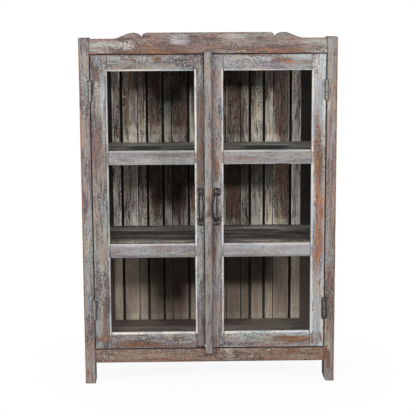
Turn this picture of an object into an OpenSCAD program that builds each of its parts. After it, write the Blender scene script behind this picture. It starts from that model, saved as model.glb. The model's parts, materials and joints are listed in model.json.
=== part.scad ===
// Two-door glazed almirah in painted hardwood: four corner posts that run down as feet, a scalloped crest board,
// framed sides, planked back, two shelves, and a pair of three-light doors on knuckled butt hinges.
// X runs across the front, -Y is the front, Z is up. The origin is on the floor, under the middle of the whole piece.
// Ranges passed to board() are [from, to] pairs; their Y counts back from the front face of the posts.

/* [Case] */
// Width over the corner posts
case_w = 1067; // [900:1:1400]
// Depth from the front of the posts to the back boards
case_d = 400; // [330:1:600]
// Height of the front posts
post_h = 1470; // [1380:1:1800]
// Width of a corner post across the front
post_w = 44; // [36:1:60]
// Depth of a front post
front_post_d = 76; // [60:1:110]
// Height of the feet under the lowest rails
foot_h = 92; // [60:1:140]
// Radius to which the right front foot's inner corner is worn
worn_foot_r = 18; // [5:1:24]
// Height of the lowest rails
low_rail_h = 60; // [45:1:90]
// Thickness of the crest board and the front and back rails
front_board_t = 22; // [18:1:30]
// Depth of the crest board below the post tops
crest_drop = 66; // [58:1:90]

/* [Crest outline] */
// Rise of the crest above the post tops
crest_rise = 21; // [12:1:45]
// Dip of the crest board at the posts, below the post tops
crest_dip = 3; // [0:1:12]
// Distance of each notch from the middle
notch_x = 274; // [200:1:330]
// Width of the round shoulder inside each notch
inner_shoulder_w = 24; // [12:1:50]
// Width of the round shoulder outside each notch
outer_shoulder_w = 34; // [15:1:55]
// Width of the swept slope from the outer shoulder down to the flat end
slope_w = 88; // [40:1:110]

/* [Sides and back] */
// Thickness of the side rails
side_rail_t = 30; // [22:1:36]
// Setback of the side rails from the outer faces of the posts
side_setback = 6; // [0:1:10]
// Height of the top side rail
side_top_rail_h = 80; // [50:1:110]
// Height of the side rails behind the shelves
side_mid_rail_h = 56; // [40:1:80]
// Thickness of the side panels
side_panel_t = 9; // [6:1:14]
// Depth of the grooves that hold the side panels
panel_groove = 8; // [5:1:12]
// Width of the boards that frame the planked back
back_stile_w = 69; // [40:1:90]
// Thickness of the back planks and of the backing boards behind them
plank_t = 12; // [9:1:16]
// Width of the open joints between back planks
plank_gap = 12; // [4:1:16]
// Joint between the back planks that meet closely
close_joint = 3; // [1:0.5:5]
// Lap of each backing board behind the one below it
backing_lap = 8; // [4:1:12]

/* [Shelves] */
// Thickness of the shelves, the floor and the top boards
shelf_t = 20; // [15:1:28]
// Height of the floor's top above the doorway's lower edge
floor_rise = 28; // [20:1:50]
// Clear height of the lower bay
lower_bay_h = 416; // [320:1:440]
// Clear height of the middle bay
middle_bay_h = 357; // [300:1:420]
// Height of the top boards' upper face above the doorway
top_rise = 36; // [22:1:45]
// Joint between neighbouring boards
board_joint = 1; // [0.5:0.1:3]
// Width and height of the cleats that carry the shelves
cleat_s = 22; // [16:1:30]

/* [Doors] */
// Thickness of the doors
door_t = 22; // [20:1:28]
// Gap round the doors
door_gap = 2; // [1.5:0.1:4]
// Distance that the doors stand in front of the posts
door_proud = 0.5; // [0.3:0.1:1]
// Place of the meeting gap, left of the middle when negative
meeting_x = -19.5; // [-60:0.5:40]
// Width of the left door's hinge stile
left_hinge_stile_w = 70; // [60:1:100]
// Width of the right door's hinge stile
right_hinge_stile_w = 60; // [55:1:100]
// Width of the left door's meeting stile
left_meeting_stile_w = 39; // [39:1:90]
// Width of the right door's meeting stile
right_meeting_stile_w = 80; // [74:1:110]
// Height of the doors' top rails
door_top_rail_h = 68; // [55:1:100]
// Height of the doors' two middle rails
door_mid_rail_h = 60; // [45:1:90]
// Height of the doors' bottom rails
door_low_rail_h = 70; // [55:1:120]
// Drop of the lower middle rails' upper edges below the lower shelf's top
lower_rail_drop = 8; // [-15:1:25]
// Rise of the upper middle rails' upper edges above the upper shelf's top
upper_rail_rise = 11; // [-15:1:25]
// Width of the chamfer round each light
chamfer_w = 10; // [5:1:12]
// Depth of the chamfer round each light
chamfer_d = 9; // [5:1:10]
// Length of the tenons
tenon_l = 26; // [15:1:30]
// Thickness of the tenons
tenon_t = 8; // [6:1:10]

/* [Glass] */
// Thickness of the panes
glass_t = 3; // [2:0.5:4]
// Width and depth of the glazing beads
bead_s = 6.5; // [5:0.5:7]
// Width of the rebate behind each sight edge
rebate_w = 7; // [6:0.5:9]

/* [Cover strip] */
// Width of the strip over the meeting gap
strip_w = 32; // [24:1:40]
// Thickness of the strip
strip_t = 8; // [5:0.5:12]
// Lap of the strip over the crest board
strip_top_lap = 10; // [2:1:20]
// Lap of the strip over the bottom rail
strip_low_lap = 28; // [4:1:40]

/* [Hinges] */
// Length of a hinge
hinge_l = 80; // [60:1:110]
// Distance from a door's top to the middle of its upper hinge
hinge_drop = 149; // [80:1:200]
// Distance from a door's bottom to the middle of its lower hinge
hinge_rise = 170; // [80:1:220]
// Radius of the knuckles
knuckle_r = 4.5; // [4:0.1:4.8]
// Radius of the pins
pin_r = 2.25; // [1.5:0.05:2.8]
// Running clearance round the pins
pin_clearance = 0.05; // [0.03:0.01:0.1]
// Thickness of the leaves
leaf_t = 2; // [2:0.1:3]
// Width of the flat of a leaf
leaf_w = 15; // [10:0.5:15]

/* [Pulls] */
// Height of the middle of the pulls above the doorway's lower edge
pull_rise = 614; // [400:1:900]
// Overall height of a pull
pull_h = 160; // [120:1:200]
// Width of the pads
pad_w = 26; // [20:1:28]
// Height of the pads
pad_h = 36; // [24:1:44]
// Thickness of the pads
pad_t = 4; // [2.5:0.5:6]
// Reach of a grip in front of the door
grip_reach = 31; // [22:1:45]
// Thickness of the iron of a grip
grip_t = 4.5; // [3:0.5:6]
// Width of a grip at its middle
grip_w = 21; // [12:1:22]
// Width of a grip where it meets the pads
grip_end_w = 8; // [5:0.5:11]
// Lean of the left grip towards the meeting gap
left_lean = 1; // [0:0.5:2]
// Lean of the right grip towards the meeting gap
right_lean = 10; // [0:0.5:14]

/* [Turn button] */
// Place of the button's pivot from the middle
button_x = 136; // [60:1:240]
// Height of the pivot above the doorway
button_rise = 11; // [9:0.5:14]
// Length of the button
button_l = 47; // [36:1:60]
// Width of the button at its middle
button_w = 16; // [12:0.5:18]
// Thickness of the button
button_t = 4; // [3:0.5:6]
// Radius of the pivot screw
screw_r = 2.5; // [2:0.1:3]
// Radius of the pivot screw's head and washer
screw_head_r = 5.5; // [4:0.5:7]
// Thickness of the pivot washer behind the button
washer_t = 1.4; // [1:0.1:2]

/* [Hidden] */

$fn = 48;
slit = 0.3; // running and fitting clearance between pieces that don't touch
over = 1; // how far a cutter passes its face

// Case
pull_reach = door_proud + grip_reach;
face_y = (pull_reach - case_d) / 2;
half_w = case_w / 2;
inner_x = half_w - post_w;
sill_z = foot_h + low_rail_h;
head_z = post_h - crest_drop;
top_z = head_z + top_rise;
back_y = case_d - 2 * plank_t;
leg_y = case_d - post_w;
field_x = inner_x - back_stile_w;
field_z = [sill_z, top_z - shelf_t - low_rail_h];

// Shelves, by the height of their upper faces
floor_z = sill_z + floor_rise;
lower_z = floor_z + lower_bay_h + shelf_t;
upper_z = lower_z + middle_bay_h + shelf_t;
shelf_y = [door_t + 2, back_y];
shelf_board_n = 3;

// Side frames, outermost face first
side_x = [half_w - side_setback - side_rail_t, half_w - side_setback];
side_y = [front_post_d, leg_y];
side_mid_x = (side_x[0] + side_x[1]) / 2;
side_top_z = [top_z - side_top_rail_h, top_z];
side_upper_z = [upper_z - side_mid_rail_h, upper_z];
side_lower_z = [lower_z - side_mid_rail_h, lower_z];
side_low_z = [foot_h, sill_z];

// Doors
door_y = [-door_proud, door_t - door_proud];
door_z = [sill_z + door_gap, head_z - door_gap];
left_door_x = [door_gap - inner_x, meeting_x - door_gap / 2];
right_door_x = [meeting_x + door_gap / 2, inner_x - door_gap];
left_light_x = [left_door_x[0] + left_hinge_stile_w, left_door_x[1] - left_meeting_stile_w];
right_light_x = [right_door_x[0] + right_meeting_stile_w, right_door_x[1] - right_hinge_stile_w];
lower_light_z = [door_z[0] + door_low_rail_h, lower_z - lower_rail_drop - door_mid_rail_h];
middle_light_z = [lower_light_z[1] + door_mid_rail_h, upper_z + upper_rail_rise - door_mid_rail_h];
upper_light_z = [middle_light_z[1] + door_mid_rail_h, door_z[1] - door_top_rail_h];
lights_z = [lower_light_z, middle_light_z, upper_light_z];
glass_y = door_y[1] - glass_t - bead_s;
tenon_mid_y = (door_y[0] + door_y[1]) / 2;
tenon_shoulder = 12;

// Hinges: the pin stands in front of the faces, on the middle of the gap beside the door
axis_x = inner_x - door_gap / 2;
axis_y = -knuckle_r;
leaf_front = knuckle_r + 0.5;
pin_head_r = norm([door_gap / 2, knuckle_r - door_proud]) - slit;
hinge_zs = [door_z[0] + hinge_rise, door_z[1] - hinge_drop];
knuckle_n = 5;
knuckle_pitch = hinge_l / knuckle_n;

// Pulls and turn button
pull_z = sill_z + pull_rise;
left_pull_x = left_door_x[1] - (left_meeting_stile_w - chamfer_w) / 2;
right_pull_x = (right_door_x[0] + strip_w + right_light_x[0] - chamfer_w) / 2;
button_z = head_z + button_rise;
button_back = washer_t;

paint = "#b3b0b2";
dark_wood = "#5c5248";
iron = "#3e3d3f";
brass = "#8d7c55";

// A rectangular piece of timber given by its ranges across, back and up
module board(x, y, z)
    translate([x[0], face_y + y[0], z[0]])
        cube([x[1] - x[0], y[1] - y[0], z[1] - z[0]]);

// Mirrors a piece made for the right side on to the left when side is -1
module on_side(side)
    mirror([side < 0 ? 1 : 0, 0, 0]) children();

// Tenons of a rail that runs across, grown by c for the mortises that take them
module cross_tenons(x, z, mid_y, shoulder, c)
    for (end = [[x[0] - tenon_l - c, x[0] + over], [x[1] - over, x[1] + tenon_l + c]])
        board(end, [mid_y - tenon_t / 2 - c, mid_y + tenon_t / 2 + c], [z[0] + shoulder - c, z[1] - shoulder + c]);

// Tenons of a side rail that runs from front to back
module side_tenons(z, c)
    for (end = [[side_y[0] - tenon_l - c, side_y[0] + over], [side_y[1] - over, side_y[1] + tenon_l + c]])
        board([side_mid_x - tenon_t / 2 - c, side_mid_x + tenon_t / 2 + c], end,
              [z[0] + tenon_shoulder - c, z[1] - tenon_shoulder + c]);

module all_side_mortises()
    for (z = [side_top_z, side_upper_z, side_lower_z, side_low_z])
        side_tenons(z, slit / 3);

// Grooves for the side panels, as deep as the panels' edges
module panel_bodies(c)
    for (z = [[side_low_z[1], side_lower_z[0]], [side_lower_z[1], side_upper_z[0]], [side_upper_z[1], side_top_z[0]]])
        board([side_mid_x - side_panel_t / 2 - c, side_mid_x + side_panel_t / 2 + c],
              [side_y[0] - panel_groove - c, side_y[1] + panel_groove + c],
              [z[0] - panel_groove - c, z[1] + panel_groove + c]);

// What is worn off a foot's inner bottom corner
module worn_corner(r)
    difference() {
        board([inner_x - over, inner_x + r], [-over, front_post_d + over], [-over, r]);
        translate([inner_x + r, face_y + front_post_d + 2 * over, r])
            rotate([90, 0, 0])
            cylinder(h = front_post_d + 4 * over, r = r);
    }

// Corner posts and their feet
module front_post(side)
    color(paint)
    on_side(side)
    difference() {
        board([inner_x, half_w], [0, front_post_d], [0, post_h]);
        if (side > 0) worn_corner(worn_foot_r);
        cross_tenons([-inner_x, inner_x], [foot_h, sill_z], front_board_t / 2, tenon_shoulder, slit / 3);
        all_side_mortises();
        panel_bodies(slit / 3);
        for (z = hinge_zs)
            board([inner_x - over, inner_x + leaf_t], [-over, axis_y + leaf_front + leaf_w + slit],
                  [z - hinge_l / 2 - slit, z + hinge_l / 2 + slit]);
    }

module back_post(side)
    color(paint)
    on_side(side)
    difference() {
        board([inner_x, half_w], [leg_y, case_d], [0, top_z]);
        all_side_mortises();
        panel_bodies(slit / 3);
    }

// Crest board: a straight middle, a notch with a round shoulder on each side of it, and swept slopes to the posts
shoulder_steps = 8;
slope_steps = 14;
crest_top = post_h + crest_rise;
notch_z = post_h + 1;
crest_end = post_h - crest_dip;
inner_shoulder = [for (i = [0 : shoulder_steps])
    [notch_x - inner_shoulder_w + inner_shoulder_w * sin(90 * i / shoulder_steps),
     notch_z + (crest_top - notch_z) * cos(90 * i / shoulder_steps)]];
outer_shoulder = [for (i = [1 : shoulder_steps])
    [notch_x + outer_shoulder_w - outer_shoulder_w * cos(90 * i / shoulder_steps),
     notch_z + (crest_top - notch_z) * sin(90 * i / shoulder_steps)]];
slope = [for (i = [1 : slope_steps])
    [notch_x + outer_shoulder_w + slope_w * i / slope_steps,
     crest_end + (crest_top - crest_end) * (1 + cos(180 * i / slope_steps)) / 2]];
crest_half = concat(inner_shoulder, outer_shoulder, slope, [[inner_x, crest_end]]);

module crest_board()
    color(paint)
    translate([0, face_y + front_board_t, 0])
    rotate([90, 0, 0])
    difference() {
        linear_extrude(front_board_t)
            polygon(concat([for (i = [len(crest_half) - 1 : -1 : 0]) [-crest_half[i][0], crest_half[i][1]]],
                           crest_half, [[inner_x, head_z], [-inner_x, head_z]]));
        translate([button_x, button_z, front_board_t - tenon_l / 2])
            cylinder(h = tenon_l, r = screw_r);
    }

module front_bottom_rail()
    color(paint) {
        board([-inner_x, inner_x], [0, front_board_t], [foot_h, sill_z]);
        cross_tenons([-inner_x, inner_x], [foot_h, sill_z], front_board_t / 2, tenon_shoulder, 0);
    }

// Back frame, its planks with open joints, and the boards that close it behind
module back_rail(z)
    color(paint) board([-field_x, field_x], [back_y, case_d], z);

module back_stile(side)
    color(dark_wood) on_side(side) board([field_x, inner_x], [back_y, case_d], [foot_h, top_z - shelf_t]);

// Planks from left to right: the share of the width that each takes, and whether the joint on its right is open
planks = [[41.5, true], [71, false], [43, true], [70, true], [39, false], [74, true], [82, true], [85, false],
          [65, false], [42, true], [63, true], [41, false], [78, true], [46.5, false]];
function share_to(n) = n < 1 ? 0 : planks[n - 1][0] + share_to(n - 1);
function half_joint(i) = (planks[i][1] ? plank_gap : close_joint) / 2;
plank_n = len(planks);
plank_unit = 2 * field_x / share_to(plank_n);
backing_n = 4;
backing_mid_y = back_y + plank_t * 3 / 2;

module back_planks()
    color(dark_wood)
    for (i = [0 : plank_n - 1])
        board([plank_unit * share_to(i) - field_x + (i == 0 ? 0 : half_joint(i - 1)),
               plank_unit * share_to(i + 1) - field_x - (i == plank_n - 1 ? 0 : half_joint(i))],
              [back_y, back_y + plank_t], field_z);

module backing_boards()
    color(dark_wood)
    for (i = [0 : backing_n - 1]) {
        step = (field_z[1] - field_z[0]) / backing_n;
        low = field_z[0] + step * i;
        lapped = i < backing_n - 1;
        board([-field_x, field_x], [back_y + plank_t, backing_mid_y], [low, low + step - (lapped ? board_joint : 0)]);
        board([-field_x, field_x], [backing_mid_y - over, case_d],
              [low, low + step - (lapped ? board_joint + backing_lap : 0)]);
        if (i > 0) board([-field_x, field_x], [backing_mid_y + slit, case_d], [low - backing_lap, low + over]);
    }

// Side frames
module side_rail(side, z)
    color(paint)
    on_side(side) {
        difference() {
            board(side_x, side_y, z);
            panel_bodies(slit / 3);
        }
        side_tenons(z, 0);
    }

module side_panels(side)
    color(paint) on_side(side) panel_bodies(0);

module cleats(side)
    color(dark_wood)
    on_side(side)
    for (z = [floor_z, lower_z, upper_z, top_z])
        board([side_x[0] - cleat_s, side_x[0]], side_y, [z - shelf_t - cleat_s, z - shelf_t]);

// Boards side by side from front to back, as in the shelves, the floor and the top, notched round the posts
module shelf(top, y, tint)
    color(tint)
    difference() {
        for (i = [0 : shelf_board_n - 1]) {
            step = (y[1] - y[0]) / shelf_board_n;
            board([slit - side_x[0], side_x[0] - slit],
                  [y[0] + step * i, y[0] + step * (i + 1) - (i == shelf_board_n - 1 ? 0 : board_joint)],
                  [top - shelf_t, top]);
        }
        for (side = [-1, 1], depth = [[-over, front_post_d + slit], [leg_y - slit, case_d + over]])
            on_side(side)
            board([inner_x - slit, side_x[0] + over], depth, [top - shelf_t - over, top + over]);
    }

// Doors: the chamfer, sight opening and glass rebate that each light cuts into the stiles and rails round it
module light_cutter(x, z) {
    run = chamfer_w * (chamfer_d + over) / chamfer_d;
    intersection() {
        translate([0, face_y + door_y[0], z[0] - run])
            linear_extrude(z[1] - z[0] + 2 * run)
                polygon([[x[0] - run, -over], [x[1] + run, -over], [x[1], chamfer_d], [x[0], chamfer_d]]);
        translate([x[0] - run, face_y + door_y[0], 0])
            rotate([90, 0, 90])
            linear_extrude(x[1] - x[0] + 2 * run)
                polygon([[-over, z[0] - run], [-over, z[1] + run], [chamfer_d, z[1]], [chamfer_d, z[0]]]);
    }
    board(x, [door_y[0] + chamfer_d - over, door_y[1] + over], z);
    board([x[0] - rebate_w, x[1] + rebate_w], [glass_y, door_y[1] + over], [z[0] - rebate_w, z[1] + rebate_w]);
}

module light_cutters(light_x)
    for (z = lights_z)
        light_cutter(light_x, z);

function rail_zs() = [
    [door_z[0], lower_light_z[0]],
    [lower_light_z[1], middle_light_z[0]],
    [middle_light_z[1], upper_light_z[0]],
    [upper_light_z[1], door_z[1]]
];

module stile(x, light_x)
    color(paint)
    difference() {
        board(x, door_y, door_z);
        light_cutters(light_x);
        for (z = rail_zs())
            cross_tenons(light_x, z, tenon_mid_y, tenon_shoulder, slit / 3);
    }

module hinge_stile(side, x, light_x)
    difference() {
        stile(x, light_x);
        color(paint)
        for (z = hinge_zs)
            on_side(side)
            board([inner_x - door_gap - leaf_t, inner_x - door_gap + over],
                  [door_y[0] - over, axis_y + leaf_front + leaf_w + slit],
                  [z - hinge_l / 2 - slit, z + hinge_l / 2 + slit]);
    }

module door_rail(z, light_x)
    color(paint) {
        difference() {
            board(light_x, door_y, z);
            light_cutters(light_x);
        }
        cross_tenons(light_x, z, tenon_mid_y, tenon_shoulder, 0);
    }

module glass(light_x)
    color("#9fb0b0", 0.35)
    for (z = lights_z)
        board([light_x[0] - rebate_w + slit, light_x[1] + rebate_w - slit], [glass_y, glass_y + glass_t],
              [z[0] - rebate_w + slit, z[1] + rebate_w - slit]);

// Glazing beads: four strips behind each pane, with their inner back edges bevelled
module glazing_beads(light_x)
    color(paint)
    for (z = lights_z) {
        x = [light_x[0] - rebate_w, light_x[1] + rebate_w];
        h = [z[0] - rebate_w, z[1] + rebate_w];
        difference() {
            board(x, [glass_y + glass_t, door_y[1]], h);
            board([x[0] + bead_s, x[1] - bead_s], [glass_y, door_y[1] + over], [h[0] + bead_s, h[1] - bead_s]);
        }
    }

module cover_strip()
    color(paint)
    translate([right_door_x[0], face_y + door_y[0], sill_z - strip_low_lap])
        linear_extrude(head_z + strip_top_lap - sill_z + strip_low_lap)
            polygon([[0, 0], [0, 2 - strip_t], [2, -strip_t], [strip_w - 2, -strip_t], [strip_w, 2 - strip_t],
                     [strip_w, 0]]);

// Butt hinges. The case leaf carries knuckles 0, 2 and 4, the door leaf 1 and 3, and toward is 1 for the case leaf
module hinge_leaf(toward, knuckles)
    color(brass)
    difference() {
        union() {
            translate([toward > 0 ? door_gap / 2 : -door_gap / 2 - leaf_t, leaf_front, -hinge_l / 2])
                cube([leaf_t, leaf_w, hinge_l]);
            for (i = knuckles)
                translate([0, 0, -hinge_l / 2 + knuckle_pitch * i + slit / 2]) {
                    cylinder(h = knuckle_pitch - slit, r = knuckle_r);
                    translate([toward > 0 ? door_gap / 2 : -door_gap / 2 - leaf_t, 0, 0])
                        cube([leaf_t, leaf_front + over, knuckle_pitch - slit]);
                }
        }
        translate([0, 0, -hinge_l])
            cylinder(h = 2 * hinge_l, r = pin_r + pin_clearance);
    }

module at_hinges(side)
    for (z = hinge_zs)
        on_side(side)
        translate([axis_x, face_y + axis_y, z])
            children();

module hinge_pins(side)
    color(brass)
    at_hinges(side) {
        translate([0, 0, -hinge_l / 2])
            cylinder(h = hinge_l, r = pin_r);
        for (end = [0, 1])
            mirror([0, 0, end])
            translate([0, 0, (hinge_l - slit) / 2])
                intersection() {
                    cylinder(h = pin_head_r, r = pin_head_r);
                    sphere(r = pin_head_r);
                }
    }

// Cast pull: two rounded pads and a leaf-shaped strap that arches between them, bowed sideways by its lean
pull_steps = 8;

module pull(lean) {
    chord = pull_h / 2 - pad_h / 2;
    arch_r = (chord * chord + grip_reach * grip_reach) / (2 * grip_reach);
    rows = [for (i = [-pull_steps : pull_steps]) i / pull_steps * (1 + over / chord)];
    function bow(t) = 1 - t * t;
    function half(t) = grip_end_w / 2 + (grip_w - grip_end_w) / 2 * bow(t);
    color(iron) {
        for (end = [-1, 1])
            translate([0, 0, end * chord])
                rotate([90, 0, 0])
                linear_extrude(pad_t)
                intersection() {
                    square([pad_w, pad_h], center = true);
                    circle(r = pad_h * 0.53, $fn = 64);
                }
        intersection() {
            translate([-pad_w, 0, 0])
                rotate([90, 0, 90])
                linear_extrude(2 * pad_w)
                intersection() {
                    difference() {
                        translate([arch_r - grip_reach, 0]) circle(r = arch_r, $fn = 128);
                        translate([arch_r - grip_reach, 0]) circle(r = arch_r - grip_t, $fn = 128);
                    }
                    translate([-grip_reach - over, -chord - pad_h / 4])
                        square([grip_reach + over - slit, 2 * chord + pad_h / 2]);
                }
            translate([0, over, 0])
                rotate([90, 0, 0])
                linear_extrude(grip_reach + 2 * over)
                polygon(concat([for (t = rows) [lean * bow(t) + half(t), chord * t]],
                               [for (t = -rows) [lean * bow(t) - half(t), chord * t]]));
        }
    }
}

// Turn button, lying level as it does when the doors are free, and its shouldered screw
module turn_button() {
    tip_r = button_w * 0.36;
    tip_x = button_l / 2 - tip_r;
    color(brass)
    translate([button_x, face_y - button_back, button_z])
        rotate([90, 0, 0])
        difference() {
            linear_extrude(button_t) {
                circle(r = button_w / 2);
                for (end = [-1, 1])
                    translate([end * tip_x, 0]) circle(r = tip_r);
                polygon([[-tip_x, -tip_r], [0, -button_w / 2], [tip_x, -tip_r],
                         [tip_x, tip_r], [0, button_w / 2], [-tip_x, tip_r]]);
            }
            translate([0, 0, -over])
                cylinder(h = button_t + 2 * over, r = screw_r + pin_clearance);
        }
}

module turn_button_screw()
    color(brass)
    translate([button_x, face_y, button_z])
        rotate([90, 0, 0]) {
            translate([0, 0, -tenon_l / 2])
                cylinder(h = tenon_l / 2 + button_back + button_t + slit + 1, r = screw_r);
            cylinder(h = button_back - slit / 2, r = screw_head_r);
            translate([0, 0, button_back + button_t + slit / 2])
                intersection() {
                    cylinder(h = 3, r = screw_head_r);
                    translate([0, 0, 3 - screw_head_r * 1.5]) sphere(r = screw_head_r * 1.5);
                }
        }

front_post(-1);  // front_left_post
front_post(1);  // front_right_post
back_post(-1);  // back_left_post
back_post(1);  // back_right_post
crest_board();
front_bottom_rail();
back_rail([field_z[1], top_z - shelf_t]);  // back_top_rail
back_rail([foot_h, sill_z]);  // back_bottom_rail
back_stile(-1);  // back_left_stile
back_stile(1);  // back_right_stile
side_rail(-1, side_top_z);  // left_side_top_rail
side_rail(-1, side_upper_z);  // left_side_upper_rail
side_rail(-1, side_lower_z);  // left_side_lower_rail
side_rail(-1, side_low_z);  // left_side_bottom_rail
side_panels(-1);  // left_side_panels
side_rail(1, side_top_z);  // right_side_top_rail
side_rail(1, side_upper_z);  // right_side_upper_rail
side_rail(1, side_lower_z);  // right_side_lower_rail
side_rail(1, side_low_z);  // right_side_bottom_rail
side_panels(1);  // right_side_panels
cleats(-1);  // left_cleats
cleats(1);  // right_cleats
shelf(top_z, [front_board_t, case_d], paint);  // top_boards
shelf(upper_z, shelf_y, dark_wood);  // upper_shelf
shelf(lower_z, shelf_y, dark_wood);  // lower_shelf
shelf(floor_z, shelf_y, dark_wood);  // floor_boards
back_planks();
backing_boards();
at_hinges(-1) hinge_leaf(1, [0, 2, 4]);  // left_case_leaves
at_hinges(1) hinge_leaf(1, [0, 2, 4]);  // right_case_leaves
hinge_pins(-1);  // left_hinge_pins
hinge_pins(1);  // right_hinge_pins
turn_button();
turn_button_screw();
hinge_stile(-1, [left_door_x[0], left_light_x[0]], left_light_x);  // left_door_hinge_stile
stile([left_light_x[1], left_door_x[1]], left_light_x);  // left_door_meeting_stile
door_rail(rail_zs()[3], left_light_x);  // left_door_top_rail
door_rail(rail_zs()[2], left_light_x);  // left_door_upper_rail
door_rail(rail_zs()[1], left_light_x);  // left_door_lower_rail
door_rail(rail_zs()[0], left_light_x);  // left_door_bottom_rail
glass(left_light_x);  // left_door_glass
glazing_beads(left_light_x);  // left_door_beads
at_hinges(-1) hinge_leaf(-1, [1, 3]);  // left_door_leaves
translate([left_pull_x, face_y + door_y[0], pull_z]) pull(left_lean);  // left_door_pull
hinge_stile(1, [right_light_x[1], right_door_x[1]], right_light_x);  // right_door_hinge_stile
stile([right_door_x[0], right_light_x[0]], right_light_x);  // right_door_meeting_stile
door_rail(rail_zs()[3], right_light_x);  // right_door_top_rail
door_rail(rail_zs()[2], right_light_x);  // right_door_upper_rail
door_rail(rail_zs()[1], right_light_x);  // right_door_lower_rail
door_rail(rail_zs()[0], right_light_x);  // right_door_bottom_rail
glass(right_light_x);  // right_door_glass
glazing_beads(right_light_x);  // right_door_beads
at_hinges(1) hinge_leaf(-1, [1, 3]);  // right_door_leaves
translate([right_pull_x, face_y + door_y[0], pull_z]) pull(-right_lean);  // right_door_pull
cover_strip();  // right_door_cover_strip
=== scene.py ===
"""Two-door glazed almirah in old hardwood under worn, chalky paint. It follows the cabinet as a joiner puts it
together: case, back, shelves, doors, glass, hinges, pulls and turn button. Metres, with the front towards -Y."""
import json
import math
import random

import bmesh
import bpy
from mathutils import Matrix, Vector, noise
from mathutils.kdtree import KDTree

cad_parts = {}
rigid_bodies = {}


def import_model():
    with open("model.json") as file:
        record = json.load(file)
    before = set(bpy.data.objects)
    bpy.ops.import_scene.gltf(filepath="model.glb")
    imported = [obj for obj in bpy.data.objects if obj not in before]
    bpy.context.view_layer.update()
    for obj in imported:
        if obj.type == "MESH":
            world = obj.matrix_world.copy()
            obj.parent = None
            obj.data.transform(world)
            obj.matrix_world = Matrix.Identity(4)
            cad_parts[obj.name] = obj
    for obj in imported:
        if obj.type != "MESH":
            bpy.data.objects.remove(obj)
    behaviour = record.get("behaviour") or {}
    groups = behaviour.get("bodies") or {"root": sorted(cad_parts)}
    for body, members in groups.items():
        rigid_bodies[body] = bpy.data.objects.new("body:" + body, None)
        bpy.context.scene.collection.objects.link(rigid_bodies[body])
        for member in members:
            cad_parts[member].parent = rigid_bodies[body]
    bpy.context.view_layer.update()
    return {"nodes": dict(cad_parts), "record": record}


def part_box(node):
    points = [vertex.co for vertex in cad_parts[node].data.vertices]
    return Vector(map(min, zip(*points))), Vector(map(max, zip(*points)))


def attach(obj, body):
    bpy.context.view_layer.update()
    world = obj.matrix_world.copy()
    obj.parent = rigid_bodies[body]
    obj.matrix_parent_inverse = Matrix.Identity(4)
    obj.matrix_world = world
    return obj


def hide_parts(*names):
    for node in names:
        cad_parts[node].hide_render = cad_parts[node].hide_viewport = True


for leftover in list(bpy.data.objects):
    bpy.data.objects.remove(leftover)
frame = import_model()
carried_by = {node: body for body, nodes in frame["record"]["behaviour"]["bodies"].items() for node in nodes}


# Camera: a long lens a little left of the middle and just above the crest. Its place and turn were solved from the
# corners of the posts and the doorway.
def set_up(name, data):
    """A new object in the scene, at the origin."""
    thing = bpy.data.objects.new(name, data)
    bpy.context.scene.collection.objects.link(thing)
    return thing


lens = bpy.data.cameras.new("camera")
lens.lens, lens.sensor_width = 109.64, 36.0
camera = set_up("camera", lens)
camera.matrix_world = (
    Matrix.Translation((-0.1256, -5.41485, 1.6948))
    @ Matrix.Rotation(math.radians(-1.324), 4, "Z")
    @ Matrix.Rotation(math.radians(90 - 10.122), 4, "X")
    @ Matrix.Rotation(math.radians(-0.286), 4, "Z")
)
bpy.context.scene.camera = camera
bpy.context.scene.view_settings.view_transform = "Standard"


# Studio: a white floor that keeps the cabinet's soft shadow, and a white surround. Two tall soft lamps on each
# side light the front and, through the glass, the outer parts of the inside. Three small ones in front stand
# higher than the camera, and two large ones behind light the back and the top.
def put(tree, kind, feeds=(), **settings):
    """Adds one node to a tree; feeds gives its inputs by number or name, as values or as sockets to link."""
    node = tree.nodes.new(kind)
    for name, value in settings.items():
        setattr(node, name, value)
    for key, value in feeds.items() if isinstance(feeds, dict) else enumerate(feeds):
        if isinstance(value, bpy.types.NodeSocket):
            tree.links.new(value, node.inputs[key])
        elif value is not None:
            node.inputs[key].default_value = value
    return node


def sum_of(tree, operation, *feeds):
    """The result of one arithmetic node."""
    return put(tree, "ShaderNodeMath", feeds, operation=operation).outputs[0]


def step_of(tree, value, low, high, low_out=0.0, high_out=1.0):
    """A soft step from low_out to high_out as the value passes from low to high."""
    return put(tree, "ShaderNodeMapRange", [value, low, high, low_out, high_out],
               interpolation_type="SMOOTHSTEP").outputs[0]


def own_place(tree):
    """Where each point lies with everything at rest, so that paint doesn't slide on a door that swings."""
    return put(tree, "ShaderNodeTexCoord").outputs["Object"]


def seen_plainly(tree):
    """1 for what is seen, also in metal or through glass, and 0 for light on its way to the cabinet."""
    path = put(tree, "ShaderNodeLightPath").outputs
    seen = sum_of(tree, "MAXIMUM", path["Is Camera Ray"], path["Is Glossy Ray"])
    return sum_of(tree, "MAXIMUM", seen, path["Is Transmission Ray"])


def blank_material(name):
    material = bpy.data.materials.new(name)
    material.use_nodes = True
    material.node_tree.nodes.clear()
    return material, material.node_tree


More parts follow.
